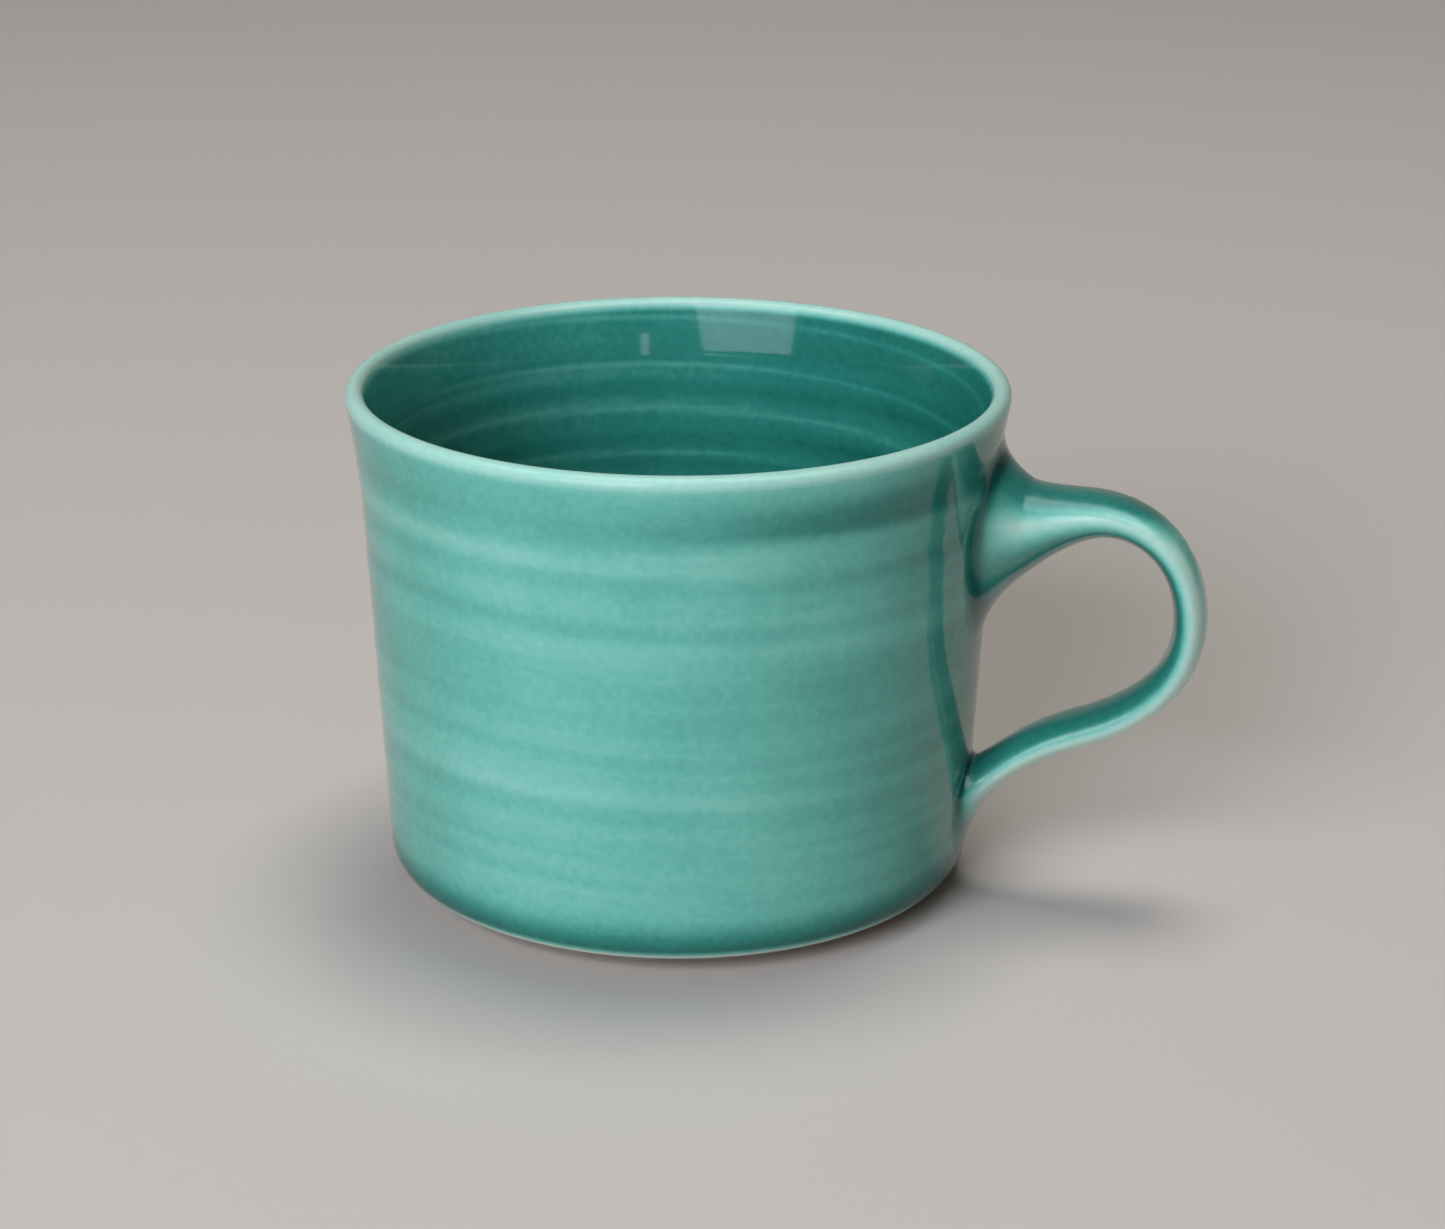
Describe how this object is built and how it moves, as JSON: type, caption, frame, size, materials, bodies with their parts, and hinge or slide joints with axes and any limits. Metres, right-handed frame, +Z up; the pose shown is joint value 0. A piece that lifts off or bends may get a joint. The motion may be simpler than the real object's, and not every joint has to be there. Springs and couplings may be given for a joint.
{
  "type": "ceramic mug",
  "caption": "Low, wide wheel-thrown porcelain mug with a flared rim, a pulled side handle and a glossy jade-green glaze over bare clay at the foot.",
  "frame": {"origin": "centre of the flat foot, on the cup's axis of revolution, where the mug stands on a table", "axes": "+Z up the cup's axis towards the rim, +X from the axis out through the middle of the handle, +Y to the left of the handle seen from above with +X right"},
  "size_m": [0.1202, 0.092, 0.0726],
  "materials": {
    "bare_porcelain": "unglazed vitrified porcelain, fine turned rings, matt",
    "joining_slip": "vitrified porcelain slip, matt, under the glaze",
    "jade_glaze": "glossy translucent jade-green glaze, pale where it runs thin, dark where it pools",
    "liner_glaze": "the same glossy glaze, thicker and darker inside the cup"
  },
  "bodies": {
    "root": {"thrown_cup": "bare_porcelain", "pulled_handle": "bare_porcelain", "upper_slip_joint": "joining_slip", "lower_slip_joint": "joining_slip", "outer_glaze": "jade_glaze", "liner_glaze": "liner_glaze", "handle_glaze": "jade_glaze"}
  },
  "joints": []
}
